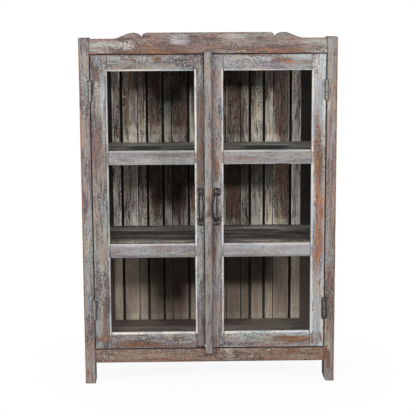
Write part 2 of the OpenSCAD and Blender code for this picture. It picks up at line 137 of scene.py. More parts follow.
studio_white, tree = blank_material("studio_floor")
seen = seen_plainly(tree)
chalk = put(tree, "ShaderNodeCombineColor", [step_of(tree, seen, 0, 1, 0.04, 0.7)] * 3).outputs[0]
chalk_floor = put(tree, "ShaderNodeBsdfDiffuse", {"Color": chalk}).outputs[0]
plain_white = put(tree, "ShaderNodeEmission", {"Color": (1, 1, 1, 1), "Strength": 1.0}).outputs[0]
far_off = put(tree, "ShaderNodeVectorMath", [own_place(tree)], operation="LENGTH").outputs[1]
whiteness = sum_of(tree, "MULTIPLY", seen, step_of(tree, far_off, 0.5, 1.1, 0.92, 1.0))
lit_floor = put(tree, "ShaderNodeMixShader", [whiteness, chalk_floor, plain_white]).outputs[0]
from_below = put(tree, "ShaderNodeNewGeometry").outputs["Backfacing"]
clear = put(tree, "ShaderNodeBsdfTransparent").outputs[0]
surface = put(tree, "ShaderNodeMixShader", [from_below, lit_floor, clear])
put(tree, "ShaderNodeOutputMaterial", {"Surface": surface.outputs[0]})

floor_mesh = bpy.data.meshes.new("studio_floor")
floor_mesh.from_pydata([(-9, -9, 0), (9, -9, 0), (9, 9, 0), (-9, 9, 0)], [], [(0, 1, 2, 3)])
floor_mesh.materials.append(studio_white)
studio_floor = set_up("studio_floor", floor_mesh)

surround = bpy.data.worlds.new("surround")
bpy.context.scene.world = surround
surround.use_nodes = True
tree = surround.node_tree
tree.nodes.clear()
brightness = step_of(tree, seen_plainly(tree), 0, 1, 0.02, 1.0)
light = put(tree, "ShaderNodeBackground", {"Color": (1, 1, 1, 1), "Strength": brightness})
put(tree, "ShaderNodeOutputWorld", {"Surface": light.outputs[0]})

# Each lamp's bearing from the front, to the right, and its rise, both in degrees; its watts, width and height.
lit_height, lamp_distance = 0.8, 3.4
for bearing, rise, watts, wide, high in (
        (-64, -5, 98, 0.2, 0.94), (-61, 12, 52, 0.2, 0.7), (64, -5, 74, 0.2, 0.94), (61, 12, 20, 0.2, 0.7),
        (24, 23, 50, 0.3, 0.3), (-18, 31, 32, 0.3, 0.3), (0, 38, 12, 0.3, 0.3),
        (-150, 20, 60, 1.0, 1.4), (150, 20, 60, 1.0, 1.4)):
    lamp = bpy.data.lights.new("lamp", "AREA")
    lamp.energy, lamp.shape, lamp.size, lamp.size_y = watts, "RECTANGLE", wide, high
    bearing, rise = math.radians(bearing), math.radians(rise)
    away = Vector((math.sin(bearing) * math.cos(rise), -math.cos(bearing) * math.cos(rise), math.sin(rise)))
    stand = set_up("lamp", lamp)
    stand.location = Vector((0, 0, lit_height)) + lamp_distance * away
    stand.rotation_euler = away.to_track_quat("Z", "Y").to_euler()


# Corner posts: four hardwood posts that run down as feet, mortised for the rails and grooved for the panels.
# Their arrises are rubbed round, and their chalky paint has come off in streaks down the grain.
def new_tree(name, kind, inputs, outputs):
    """A node tree with named sockets; each is given as its label, what it holds and, where it has one, a value."""
    tree = bpy.data.node_groups.new(name, kind)
    for way, sockets in (("INPUT", inputs), ("OUTPUT", outputs)):
        for label, holds, *values in sockets:
            socket = tree.interface.new_socket(label, in_out=way, socket_type="NodeSocket" + holds)
            for value in values:
                socket.default_value = value
    return tree


# The bend, in radians, above which an edge wears, and the distance from one that counts as far.
sharp_bend, far_from_arris = 0.8, 0.03


def arris_tree():
    """Wears a board's convex edges: stores how far each point is from one, and pulls the edges in by noise."""
    tree = new_tree("worn arrises", "GeometryNodeTree",
                    [("Board", "Geometry"), ("Depth", "Float", 0.0012), ("Reach", "Float", 0.006),
                     ("Lump", "Float", 0.03), ("Loss", "Float", 0.0), ("Pale", "Float", 0.0), ("Seed", "Int", 1),
                     ("Finish", "Material")], [("Board", "Geometry")])
    given = put(tree, "NodeGroupInput").outputs
    bend = put(tree, "GeometryNodeInputMeshEdgeAngle").outputs["Signed Angle"]
    convex = put(tree, "FunctionNodeCompare", [bend, sharp_bend], data_type="FLOAT",
                 operation="GREATER_THAN").outputs[0]
    arrises = put(tree, "GeometryNodeSeparateGeometry", [given["Board"], convex], domain="EDGE").outputs[0]
    distance = put(tree, "GeometryNodeProximity", [arrises], target_element="EDGES").outputs["Distance"]
    island = put(tree, "GeometryNodeInputMeshIsland").outputs["Island Index"]
    apart = put(tree, "FunctionNodeRandomValue", {"ID": island, "Seed": given["Seed"]},
                data_type="FLOAT").outputs[1]
    kept = given["Board"]
    for name, value in (("arris", sum_of(tree, "MINIMUM", distance, far_from_arris)), ("board", apart),
                        ("loss", given["Loss"]), ("pale", given["Pale"])):
        kept = put(tree, "GeometryNodeStoreNamedAttribute", {"Geometry": kept, "Name": name, "Value": value},
                   data_type="FLOAT", domain="POINT").outputs[0]
    place = put(tree, "GeometryNodeInputPosition").outputs[0]
    shift = sum_of(tree, "MULTIPLY", given["Seed"], 0.37)
    fine = sum_of(tree, "DIVIDE", 1.0, given["Lump"])
    coarse = sum_of(tree, "MULTIPLY", fine, 0.4)
    rubbed, knocked = (
        put(tree, "ShaderNodeTexNoise", {"Vector": place, "W": shift, "Scale": scale, "Detail": detail},
            noise_dimensions="4D").outputs[0] for scale, detail in ((fine, 2.0), (coarse, 1.0)))
    depth = sum_of(tree, "ADD", rubbed, step_of(tree, knocked, 0.6, 0.72, 0.0, 1.6))
    fade = step_of(tree, distance, 0.0, given["Reach"], 1.0, 0.0)
    inwards = sum_of(tree, "MULTIPLY", given["Depth"], -1)
    pull_in = sum_of(tree, "MULTIPLY", sum_of(tree, "MULTIPLY", depth, fade), inwards)
    normal = put(tree, "GeometryNodeInputNormal").outputs[0]
    moved = put(tree, "ShaderNodeVectorMath", {0: normal, "Scale": pull_in}, operation="SCALE").outputs[0]
    worn = put(tree, "GeometryNodeSetPosition", {"Geometry": kept, "Offset": moved}).outputs[0]
    worn = put(tree, "GeometryNodeRealizeInstances", [worn]).outputs[0]
    worn = put(tree, "GeometryNodeSetMaterial", {"Geometry": worn, "Material": given["Finish"]}).outputs[0]
    put(tree, "NodeGroupOutput", [worn])
    return tree


worn_arrises = arris_tree()


def taken_from(holder):
    """The plain mesh that a holder's modifiers make. The holder goes."""
    bpy.context.view_layer.update()
    mesh = bpy.data.meshes.new_from_object(holder.evaluated_get(bpy.context.evaluated_depsgraph_get()))
    bpy.data.objects.remove(holder)
    return mesh


def made_by(tree, mesh, name, **settings):
    """Runs a Geometry Nodes tree on a mesh once and returns the plain result."""
    holder = set_up(name, mesh)
    modifier = holder.modifiers.new(name, "NODES")
    modifier.node_group = tree
    for socket in tree.interface.items_tree:
        if socket.in_out == "INPUT" and socket.name in settings:
            modifier[socket.identifier] = settings[socket.name]
    return taken_from(holder)


def stand_in(kind, node, mesh):
    """Puts a finished mesh in the place of a CAD node."""
    piece = set_up(f"{kind}_{node}", mesh)
    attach(piece, carried_by[node])
    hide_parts(node)


def cuts_between(low, high, arrises, pitch):
    """Places to cut a board across: close beside each arris, so that it can wear, and evenly between them."""
    from_end, least = 0.001, 0.0015
    beside = sorted(arris + off for arris in arrises for off in (-0.0075, -0.0025, 0.0025, 0.0075)
                    if low + from_end < arris + off < high - from_end)
    places, last = [], low
    for mark in beside + [high]:
        if mark - last < least:
            continue
        steps = int((mark - last) / pitch)
        places += [last + (mark - last) * (i + 1) / (steps + 1) for i in range(steps)]
        if mark < high:
            places.append(mark)
        last = mark
    return places


# The joints of the doors' stiles with their rails, the lights between the rails, how deep behind the face a chamfer
# lies, and the sides of the doors, the strip and the doorway, which are painted dark in the gaps as painted shade.
joints = [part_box(f"{side}_door_{stile}")[end].x for side, stile, end in (
    ("left", "hinge_stile", 1), ("left", "meeting_stile", 0),
    ("right", "meeting_stile", 1), ("right", "hinge_stile", 0))]
rails = [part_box(f"left_door_{place}_rail") for place in ("bottom", "lower", "upper", "top")]
lights = [(below[1].z, above[0].z) for below, above in zip(rails, rails[1:])]
chamfered = [node for node in carried_by if "_door_" in node and node.endswith(("stile", "rail"))]
chamfer_depths, chamfer_mark = (0.0005, 0.0095), -440
gap_sides = [(axis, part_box(f"{side}_door_{piece}")[end][axis]) for side in ("left", "right")
             for axis, piece, end in ((0, "hinge_stile", 0), (0, "hinge_stile", 1), (0, "meeting_stile", 0),
                                      (0, "meeting_stile", 1), (2, "bottom_rail", 0), (2, "top_rail", 1))]
gap_sides += [(0, corner.x) for node in ("right_door_cover_strip", "crest_board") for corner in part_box(node)]
gap_sides += [(2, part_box("crest_board")[0].z), (2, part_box("front_bottom_rail")[1].z)]


def old_board(node, finish, pitch=0.014, depth=0.0012, reach=0.006, loss=0.0, pale=0.0,
              bare=(), shelf_shadows=()):
    """Replaces a CAD node by a worn copy, with more or less paint lost and left paler or darker as a whole.
    bare lists patches of the front face that lost their paint, or kept more where negative: middle x and z,
    half width, half height, and how bare, from -1 to 1. shelf_shadows lists painted shadows on the top face: middle
    x and y, half width, half depth, and how dark. A chamfer's points carry their depth as a large negative
    bareness."""
    work = bmesh.new()
    work.from_mesh(frame["nodes"][node].data)
    bmesh.ops.remove_doubles(work, verts=work.verts, dist=1e-5)
    bmesh.ops.dissolve_limit(work, angle_limit=0.01, verts=work.verts, edges=work.edges)
    low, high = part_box(node)
    least_length, least_bend = 0.05, 0.5
    long_edges = [e for e in work.edges if e.is_manifold and e.calc_length() > least_length
                  and e.calc_face_angle_signed(0) > least_bend]
    for axis in range(3):
        across = {round(e.verts[0].co[axis], 4) for e in long_edges
                  if abs(e.verts[0].co[axis] - e.verts[1].co[axis]) < 1e-4}
        normal = [float(a == axis) for a in range(3)]
        for place in cuts_between(low[axis], high[axis], across, pitch):
            bmesh.ops.bisect_plane(work, geom=work.verts[:] + work.edges[:] + work.faces[:], dist=1e-6,
                                   plane_co=[n * place for n in normal], plane_no=normal)
    front, skin = low.y + 0.002, 0.004
    bareness = work.verts.layers.float.new("bare")
    soot = work.verts.layers.float.new("soot")
    for point in work.verts:
        # Points on the sides of the gaps round the doors, and along their front edges, are painted dark as painted
        # shade.
        if any(abs(point.co[axis] - at) < 2e-4 for axis, at in gap_sides):
            point[soot] = 1.0 if point.co.y > front else 0.55
        for x, z, half_x, half_z, strength in bare:
            spread = ((point.co.x - x) / half_x) ** 2 + ((point.co.z - z) / half_z) ** 2
            if point.co.y < low.y + skin and spread < 2:
                point[bareness] += strength * min(1.0, 2.0 - spread)
        # Painted shadows on the tops of the shelves and the floor.
        for x, y, half_x, half_y, strength in shelf_shadows:
            spread = ((point.co.x - x) / half_x) ** 2 + ((point.co.y - y) / half_y) ** 2
            if point.co.z > high.z - skin and spread < 2:
                point[soot] = max(point[soot], strength * min(1.0, 2.0 - spread))
        inwards = point.co.y - low.y
        if node in chamfered and chamfer_depths[0] < inwards < chamfer_depths[1]:
            point[bareness] = chamfer_mark * inwards
    cut = bpy.data.meshes.new(node)
    work.to_mesh(cut)
    work.free()
    mesh = made_by(worn_arrises, cut, node, Depth=depth, Reach=reach, Seed=random.Random(node).randrange(1, 900),
                   Loss=loss, Pale=pale, Finish=finish)
    if node in chamfered:
        # A stile and a rail are flush where they meet, so the joint doesn't wear as an arris does.
        arris, by_joint, by_light = mesh.attributes["arris"].data, 0.012, 0.002
        for vertex in mesh.vertices:
            x, y, z = vertex.co
            if (y < front and any(abs(x - joint) < by_joint for joint in joints)
                    and not any(bottom - by_light < z < top + by_light for bottom, top in lights)):
                arris[vertex.index].value = far_from_arris
    mesh.polygons.foreach_set("use_smooth", [True] * len(mesh.polygons))
    mesh.set_sharp_from_angle(angle=math.radians(50))
    stand_in("old", node, mesh)


def noise_of(tree, place, scale, detail, rough=0.5, swirl=0.0):
    return put(tree, "ShaderNodeTexNoise", {"Vector": place, "Scale": float(scale), "Detail": float(detail),
                                            "Roughness": rough, "Distortion": swirl}).outputs[0]


def mix_of(tree, share, first, second, blend_type="MIX"):
    """The first colour with a share of the second over it, each a socket or its red, green and blue."""
    first, second = (colour if isinstance(colour, bpy.types.NodeSocket) else (*colour, 1)
                     for colour in (first, second))
    return put(tree, "ShaderNodeMix", {0: share, 6: first, 7: second}, data_type="RGBA",
               blend_type=blend_type).outputs[2]


# Each pattern's name, a factor on its coordinate along the grain, which draws it out, scale, detail and roughness.
patterns = (("Band", 0.07, 34, 3, 0.55), ("Streak", 0.06, 130, 3, 0.6), ("Fibre", 0.04, 560, 2, 0.6),
            ("Blotch", 0.4, 17, 4, 0.62), ("Smear", 0.2, 95, 4, 0.7), ("Fleck", 0.5, 230, 2, 0.55),
            ("Pit", 0.65, 300, 2, 0.5), ("Tint", 0.3, 20, 3, 0.6), ("Zone", 0.45, 11, 2, 0.5))
pattern_sockets = [(name, "Float") for name, *rest in patterns]


def grain_group():
    """Patterns of a board whose grain runs up Z, each from about 0 to 1 around 0.5."""
    tree = new_tree("grain", "ShaderNodeTree", [("Vector", "Vector"), ("Board", "Float")], pattern_sockets)
    given = put(tree, "NodeGroupInput").outputs
    apart = put(tree, "ShaderNodeCombineXYZ",
                [sum_of(tree, "MULTIPLY", given["Board"], far) for far in (5.1, 3.7, 9.3)]).outputs[0]
    place = put(tree, "ShaderNodeVectorMath", [given["Vector"], apart], operation="ADD").outputs[0]
    sway = put(tree, "ShaderNodeTexNoise", {"Vector": place, "Scale": 6.0, "Detail": 1.0}).outputs[1]
    place = put(tree, "ShaderNodeVectorMath", [sway, (0.03, 0.03, 0.0), place],
                operation="MULTIPLY_ADD").outputs[0]
    results = []
    for _, stretch, scale, detail, rough in patterns:
        along = put(tree, "ShaderNodeVectorMath", [place, (1.0, 1.0, stretch)], operation="MULTIPLY").outputs[0]
        results.append(noise_of(tree, along, scale, detail, rough))
    put(tree, "NodeGroupOutput", results)
    return tree


def paint_group():
    """Old paint on wood: pale, mid and grimy paint mixed by the grain, and the wood where the paint is lost,
    which it is at the arrises, on bare patches, and by blotches and smears along the grain."""
    tree = new_tree("worn paint", "ShaderNodeTree", pattern_sockets + [
        (name, "Float") for name in ("Board", "Arris", "Bare", "Soot", "Loss", "Pale", "Keep", "Edge wear",
                                     "Edge light", "Scaly", "Streaky", "Spread")] + [
        (name, "Color") for name in ("Pale paint", "Cool paint", "Paint", "Warm paint", "Grime", "Stain", "Wood",
                                     "Raw wood", "Dark wood", "Pits")],
        [("Color", "Color"), ("Height", "Float"), ("Roughness", "Float")])
    given = put(tree, "NodeGroupInput").outputs

    def mixed(start, *shares):
        """Start plus each pattern's departure from its middle, times its share."""
        for name, share in shares:
            departure = sum_of(tree, "SUBTRACT", given[name], 0.5)
            start = sum_of(tree, "ADD", start, sum_of(tree, "MULTIPLY", departure, share))
        return start

    # How much paint is lost, and where it is stained through or gone.
    wide = sum_of(tree, "MULTIPLY_ADD", given["Blotch"], 0.024, -0.006)
    edge = sum_of(tree, "MULTIPLY", step_of(tree, given["Arris"], 0.0, wide, 1.0, 0.0), given["Edge wear"])
    loss = mixed(given["Loss"], ("Blotch", 0.8), ("Smear", 1.5), ("Streak", 1.6), ("Fleck", 1.2), ("Fibre", 0.3))
    loss = sum_of(tree, "SUBTRACT", sum_of(tree, "ADD", loss, edge), given["Keep"])
    loss = sum_of(tree, "ADD", loss, sum_of(tree, "MULTIPLY", given["Bare"], 0.42))
    apart = sum_of(tree, "MULTIPLY", sum_of(tree, "SUBTRACT", given["Board"], 0.5), given["Spread"])
    loss = sum_of(tree, "MULTIPLY_ADD", apart, -0.5, loss)
    stained = step_of(tree, mixed(loss, ("Tint", 0.9)), -0.34, 0.06)
    exposed = step_of(tree, loss, -0.02, 0.1)

    # The tone of the coat, from grimy to pale.
    scales = sum_of(tree, "MULTIPLY", mixed(0.0, ("Smear", 1.6), ("Fleck", 2.0)), given["Scaly"])
    scales = sum_of(tree, "MULTIPLY", scales, step_of(tree, given["Zone"], 0.42, 0.6, 0.35, 1.2))
    tone = mixed(0.0, ("Band", 1.1), ("Streak", 1.4), ("Fibre", 0.8))
    tone = mixed(sum_of(tree, "MULTIPLY_ADD", tone, given["Streaky"], scales), ("Blotch", 0.8))
    tone = sum_of(tree, "ADD", sum_of(tree, "ADD", tone, apart), 0.45)
    darker = sum_of(tree, "MULTIPLY", given["Bare"], -0.3)
    tone = sum_of(tree, "ADD", sum_of(tree, "ADD", tone, given["Pale"]), darker)
    # A painted highlight, in patches, along the arrises.
    at_arris = step_of(tree, given["Arris"], 0.001, 0.006, 1.0, 0.0)
    at_arris = sum_of(tree, "MULTIPLY", at_arris, step_of(tree, given["Band"], 0.44, 0.56))
    tone = sum_of(tree, "ADD", tone, sum_of(tree, "MULTIPLY", at_arris, given["Edge light"]))

    # The coat's colours over the wood's, with the pits.
    tinted = step_of(tree, mixed(0.5, ("Tint", 1.0), ("Smear", 0.5)), 0.4, 0.6)
    pale = mix_of(tree, tinted, given["Cool paint"], given["Pale paint"])
    middling = mix_of(tree, step_of(tree, given["Tint"], 0.45, 0.58), given["Paint"], given["Warm paint"])
    coat = mix_of(tree, step_of(tree, tone, 0.02, 0.52), given["Grime"], middling)
    coat = mix_of(tree, step_of(tree, tone, 0.48, 0.98), coat, pale)
    coat = mix_of(tree, sum_of(tree, "MULTIPLY", stained, 0.7), coat, given["Stain"])
    figure = step_of(tree, mixed(0.0, ("Band", 1.0), ("Fibre", 0.6), ("Streak", 0.8)), -0.14, 0.12)
    wood = mix_of(tree, step_of(tree, given["Bare"], 0.5, 0.75), given["Wood"], given["Raw wood"])
    colour = mix_of(tree, exposed, coat, mix_of(tree, figure, wood, given["Dark wood"]))
    pitted = step_of(tree, mixed(0.5, ("Pit", 1.2), ("Blotch", -0.3), ("Zone", 0.7)), 0.63, 0.70)
    pitted = sum_of(tree, "MULTIPLY", pitted, sum_of(tree, "MINIMUM", given["Scaly"], 1.0))
    colour = mix_of(tree, sum_of(tree, "MULTIPLY", pitted, 0.8), colour, given["Pits"])
    greenish, violet = (0.97, 1.02, 0.97), (1.03, 0.98, 1.04)
    hue = mix_of(tree, step_of(tree, mixed(0.5, ("Smear", 0.6), ("Band", -0.8)), 0.35, 0.65), greenish, violet)
    colour = mix_of(tree, 1.0, colour, hue, "MULTIPLY")

    # Chamfers are rubbed to an old cream or peach coat, and painted shade lies over all.
    cream, peach = (0.64, 0.60, 0.56), (0.60, 0.43, 0.32)
    patchy = step_of(tree, mixed(0.5, ("Blotch", 1.0), ("Streak", 0.8)), 0.38, 0.58, 0.25, 1.0)
    rubbed = sum_of(tree, "MULTIPLY", step_of(tree, given["Bare"], -3.6, -1.8, 0.4, 0.0), patchy)
    colour = mix_of(tree, rubbed, colour, mix_of(tree, step_of(tree, given["Tint"], 0.5, 0.6), cream, peach))
    colour = mix_of(tree, given["Soot"], colour, given["Pits"])

    height = mixed(0.5, ("Fibre", 0.5), ("Smear", 0.3))
    sunk = sum_of(tree, "ADD", sum_of(tree, "MULTIPLY", exposed, 0.35), pitted)
    height = sum_of(tree, "SUBTRACT", height, sunk)
    put(tree, "NodeGroupOutput", [colour, height, step_of(tree, exposed, 0, 1, 0.9, 0.72)])
    return tree


def hinge_shade_group():
    """Painted shade: the dark line of shadow round the knuckles of the hinges, along the gaps round the doors and
    beside the strip over the middle gap: 1 beside one, on the front faces. Round the bottom right hinge it is
    wider and ragged."""
    tree = new_tree("hinge shade", "ShaderNodeTree", [("Vector", "Vector")], [("Shade", "Float")])
    place = put(tree, "NodeGroupInput").outputs[0]
    x, y, z = put(tree, "ShaderNodeSeparateXYZ", [place]).outputs

    def past(value, middle, half=0.0):
        """How far the value lies past half a width from the middle, negative within it."""
        away = sum_of(tree, "ABSOLUTE", sum_of(tree, "SUBTRACT", value, middle))
        return sum_of(tree, "SUBTRACT", away, half)

    half_hinge, knuckle = 0.043, 0.007
    low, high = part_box("left_hinge_pins")
    pin_x, middle, apart = -(low.x + high.x) / 2, (low.z + high.z) / 2, (high.z - low.z) / 2
    above = past(past(z, middle), apart - half_hinge, half_hinge)
    away = sum_of(tree, "MAXIMUM", past(past(x, 0.0), pin_x), sum_of(tree, "ADD", above, knuckle))
    ragged = noise_of(tree, place, 160, 2)
    # Round the bottom right hinge the painted shade spreads wider and ragged.
    stained = sum_of(tree, "MULTIPLY", step_of(tree, x, 0.0, 0.1), step_of(tree, z, 0.6, 0.7, 0.009, 0.0))
    away = sum_of(tree, "SUBTRACT", away, sum_of(tree, "MULTIPLY", ragged, stained))

    gap_middle = -0.0005
    low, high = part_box("front_bottom_rail")[1].z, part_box("crest_board")[0].z
    outline = sum_of(tree, "MAXIMUM", past(x, 0.0, pin_x), past(z, (low + high) / 2, (high - low) / 2))
    shade = sum_of(tree, "MAXIMUM", step_of(tree, away, 0.0074, 0.0094, 1.0, 0.0),
                   step_of(tree, past(outline, gap_middle), 0.002, 0.004, 1.0, 0.0))

    low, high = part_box("right_door_cover_strip")
    for edge in (low.x, high.x):
        above = past(z, (low.z + high.z) / 2, (high.z - low.z) / 2)
        beside = sum_of(tree, "MAXIMUM", past(x, edge), above)
        shade = sum_of(tree, "MAXIMUM", shade, step_of(tree, beside, 0.0008, 0.0036, 0.9, 0.0))

    # It shows only on the front faces, between two planes.
    shade = sum_of(tree, "MULTIPLY", shade, step_of(tree, y, -0.17, -0.165, 1.0, 0.0))
    shade = sum_of(tree, "MULTIPLY", shade, step_of(tree, y, -0.189, -0.187))
    put(tree, "NodeGroupOutput", [shade])
    return tree


grain, worn_paint, hinge_shade = grain_group(), paint_group(), hinge_shade_group()
dusty_below, clean_above = 0.5, 0.66


def painted_wood(name, turn, size=1.0, keep=0.36, edge_wear=0.3, edge_highlight=0.0, scaly=1.0, streaky=1.0,
                 spread=0.1, pale=(0.53, 0.50, 0.45), cool=(0.36, 0.395, 0.415), paint=(0.212, 0.216, 0.220),
                 warm=(0.242, 0.222, 0.198), grime=(0.085, 0.064, 0.06), stain=(0.17, 0.105, 0.075),
                 wood=(0.25, 0.12, 0.065), raw=(0.32, 0.124, 0.045), dark=(0.11, 0.055, 0.04),
                 pits=(0.03, 0.025, 0.025), dust=(0.2, 0.16, 0.13), low_down=0.0, shade_ahead=None):
    """A painted board; turn is the rotation that stands its grain upright, size enlarges its patterns, and the
    dust low_down lies over the part of it behind the lowest lights. Ahead of the plane y = shade_ahead it is
    painted near black as painted shade, lighter and browner low down."""
    material, tree = blank_material(name)
    here = own_place(tree)
    kept = {key: put(tree, "ShaderNodeAttribute", attribute_name=key).outputs["Fac"]
            for key in ("board", "arris", "bare", "soot", "loss", "pale")}
    stood_up = put(tree, "ShaderNodeMapping", {0: here, 2: turn, 3: [1 / size] * 3}).outputs[0]
    along = put(tree, "ShaderNodeGroup", {"Vector": stood_up, "Board": kept["board"]}, node_tree=grain)
    # The painted shade by the hinges, the gaps and the strip joins the painted shade that the board carries.
    shade = put(tree, "ShaderNodeGroup", {"Vector": here}, node_tree=hinge_shade)
    kept["soot"] = sum_of(tree, "MAXIMUM", kept["soot"], sum_of(tree, "MULTIPLY", shade.outputs[0], 0.9))
    feeds = {output.name: output for output in along.outputs}
    feeds.update({key.capitalize(): value for key, value in kept.items()})
    feeds.update({"Keep": keep, "Edge wear": edge_wear, "Edge light": edge_highlight, "Scaly": scaly,
                  "Streaky": streaky, "Spread": spread, "Pale paint": (*pale, 1), "Cool paint": (*cool, 1),
                  "Paint": (*paint, 1), "Warm paint": (*warm, 1), "Grime": (*grime, 1), "Stain": (*stain, 1),
                  "Wood": (*wood, 1), "Raw wood": (*raw, 1), "Dark wood": (*dark, 1), "Pits": (*pits, 1)})
    coat = put(tree, "ShaderNodeGroup", feeds, node_tree=worn_paint).outputs
    _, y, height = put(tree, "ShaderNodeSeparateXYZ", [here]).outputs
    dusty = step_of(tree, height, dusty_below, clean_above, low_down, 0.0)
    colour = mix_of(tree, dusty, coat["Color"], dust)
    if shade_ahead:
        # Painted shade: near black above, dark brown low down.
        shade_black, lower_shade = (0.007, 0.006, 0.005), (0.075, 0.06, 0.049)
        soot = mix_of(tree, step_of(tree, height, dusty_below, clean_above, 1.0, 0.0), shade_black, lower_shade)
        ahead = step_of(tree, y, shade_ahead - 0.002, shade_ahead + 0.002, 0.96, 0.0)
        colour = mix_of(tree, ahead, colour, soot)
    raised = put(tree, "ShaderNodeBump", {"Strength": 0.6, "Distance": 0.0015, "Height": coat["Height"]})
    surface = put(tree, "ShaderNodeBsdfPrincipled",
                  {"Base Color": colour, "Roughness": coat["Roughness"], "Normal": raised.outputs[0],
                   "Specular IOR Level": 0.2})
    put(tree, "ShaderNodeOutputMaterial", {"Surface": surface.outputs[0]})
    return material


upright, level, deep = (0, 0, 0), (0, math.pi / 2, 0), (math.pi / 2, 0, 0)
upright_paint = painted_wood("upright_paint", upright, edge_wear=0.2, scaly=0.85)
level_paint = painted_wood("level_paint", level, edge_wear=0.12)
deep_paint = painted_wood("deep_paint", deep)

old_board("front_left_post", upright_paint, pale=-0.06, bare=((-0.5335, 0.85, 0.004, 0.55, 0.9),))
old_board("front_right_post", upright_paint, loss=0.08, pale=0.02,
          bare=((0.5315, 0.98, 0.005, 0.4, 0.7), (0.520, 0.42, 0.02, 0.22, 0.42),
                (0.497, 0.124, 0.011, 0.022, 0.9), (0.512, 0.05, 0.03, 0.06, 0.35)))
for node in ("back_left_post", "back_right_post"):
    old_board(node, upright_paint, pitch=0.024)

# Crest board and bottom rail: the two boards across the front, housed and tenoned between the posts.
# The crest is sawn to a flat middle, a notch with round shoulders on each side, and swept ends.
crest_paint = painted_wood("crest_paint", level, edge_wear=0.15, scaly=1.25, pale=(0.46, 0.41, 0.36),
                           cool=(0.33, 0.33, 0.33), paint=(0.215, 0.195, 0.185), warm=(0.235, 0.20, 0.175),
                           wood=(0.27, 0.15, 0.095))
old_board("crest_board", crest_paint, loss=0.12, pale=-0.15,
          bare=((-0.247, 1.427, 0.15, 0.014, 0.35), (0.30, 1.420, 0.15, 0.012, 0.6),
                (-0.05, 1.44, 0.16, 0.03, 0.2), (-0.25, 1.406, 0.22, 0.005, 1.7), (0.3, 1.405, 0.1, 0.003, 1.0),
                (-0.12, 1.462, 0.035, 0.02, -1.0), (-0.34, 1.435, 0.035, 0.014, -1.0),
                (-0.43, 1.43, 0.05, 0.02, -0.6), (0.1, 1.47, 0.05, 0.012, -0.5), (0.44, 1.43, 0.05, 0.03, -0.4)))
rail_paint = painted_wood("rail_paint", level, scaly=1.7, streaky=1.2, pale=(0.47, 0.40, 0.34),
                          cool=(0.33, 0.295, 0.265), paint=(0.225, 0.178, 0.148), warm=(0.235, 0.175, 0.135),
                          grime=(0.095, 0.066, 0.05), stain=(0.18, 0.09, 0.05), wood=(0.27, 0.12, 0.06))
old_board("front_bottom_rail", rail_paint, loss=0.15, pale=-0.1, bare=((0.08, 0.12, 0.012, 0.03, -1.2),))

# Sides: four rails tenoned into the posts on each side, with thin panels held loose in their grooves.
# They have the same paint as the posts, without bare patches.
for side in ("left", "right"):
    for place in ("top", "upper", "lower", "bottom"):
        old_board(f"{side}_side_{place}_rail", deep_paint, pitch=0.024)
    old_board(f"{side}_side_panels", upright_paint, pitch=0.04, depth=0.0004)

# Back: a frame of two stiles and two rails, upright planks, and boards nailed behind that close their open joints.
# The planks were never finished: they are umber, with drips and smears of the paint, whitest at their feet. The
# frame and the boards are raw wood outside; inside they are painted near black as painted shade, lighter low down.
# The planks' arrises carry a painted highlight.
plank_wood = painted_wood("plank_wood", upright, keep=0.2, edge_wear=-0.3, edge_highlight=1.1, scaly=0.9, streaky=2.1,
                          spread=0.2, dust=(0.43, 0.336, 0.262), low_down=0.62, pale=(0.66, 0.59, 0.50),
                          cool=(0.42, 0.40, 0.352), paint=(0.25, 0.232, 0.203), warm=(0.29, 0.235, 0.18),
                          grime=(0.075, 0.055, 0.046), stain=(0.17, 0.09, 0.07), wood=(0.2, 0.095, 0.062),
                          dark=(0.07, 0.038, 0.032), pits=(0.012, 0.010, 0.009))
raw_wood = dict(keep=0.2, edge_wear=-0.1, pale=(0.30, 0.27, 0.23), cool=(0.26, 0.245, 0.22),
                paint=(0.20, 0.165, 0.135), warm=(0.2, 0.155, 0.12), grime=(0.10, 0.075, 0.06),
                stain=(0.14, 0.09, 0.065), wood=(0.16, 0.09, 0.058), dark=(0.07, 0.042, 0.032),
                pits=(0.02, 0.016, 0.014))
# Ahead of this plane the back is painted near black as painted shade.
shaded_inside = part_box("backing_boards")[1].y - 0.005
level_raw = painted_wood("level_raw_wood", level, shade_ahead=shaded_inside, **raw_wood)
upright_raw = painted_wood("upright_raw_wood", upright, shade_ahead=shaded_inside, **raw_wood)
plank_tones = ((-0.400, 0.017, -0.5), (-0.343, 0.03, -0.1), (-0.287, 0.017, -0.3), (-0.230, 0.03, 0.35),
               (-0.175, 0.016, -0.1), (-0.119, 0.031, 0.15), (-0.041, 0.034, -0.1), (0.043, 0.035, 0.2),
               (0.117, 0.027, 0.3), (0.171, 0.017, -0.3), (0.223, 0.026, -0.5), (0.275, 0.017, -0.4),
               (0.335, 0.032, 0.1), (0.397, 0.019, -0.5))
halfway_up, whole_length = 0.76, 3
whole_planks = [(x, halfway_up, half_x, whole_length, tone) for x, half_x, tone in plank_tones]
pale_feet = [(0, z, 0.9, 0.022, -0.8) for z in (0.995, 0.618, 0.182)]
pale_feet += [(-0.24, z, 0.17, 0.035, -0.6) for z in (1.03, 0.655)]
old_board("back_planks", plank_wood, bare=whole_planks + pale_feet)
for node in ("back_left_stile", "back_right_stile"):
    old_board(node, upright_raw, pitch=0.024)
for node in ("back_top_rail", "back_bottom_rail"):
    old_board(node, level_raw, pitch=0.024)
old_board("backing_boards", level_raw, pitch=0.04)
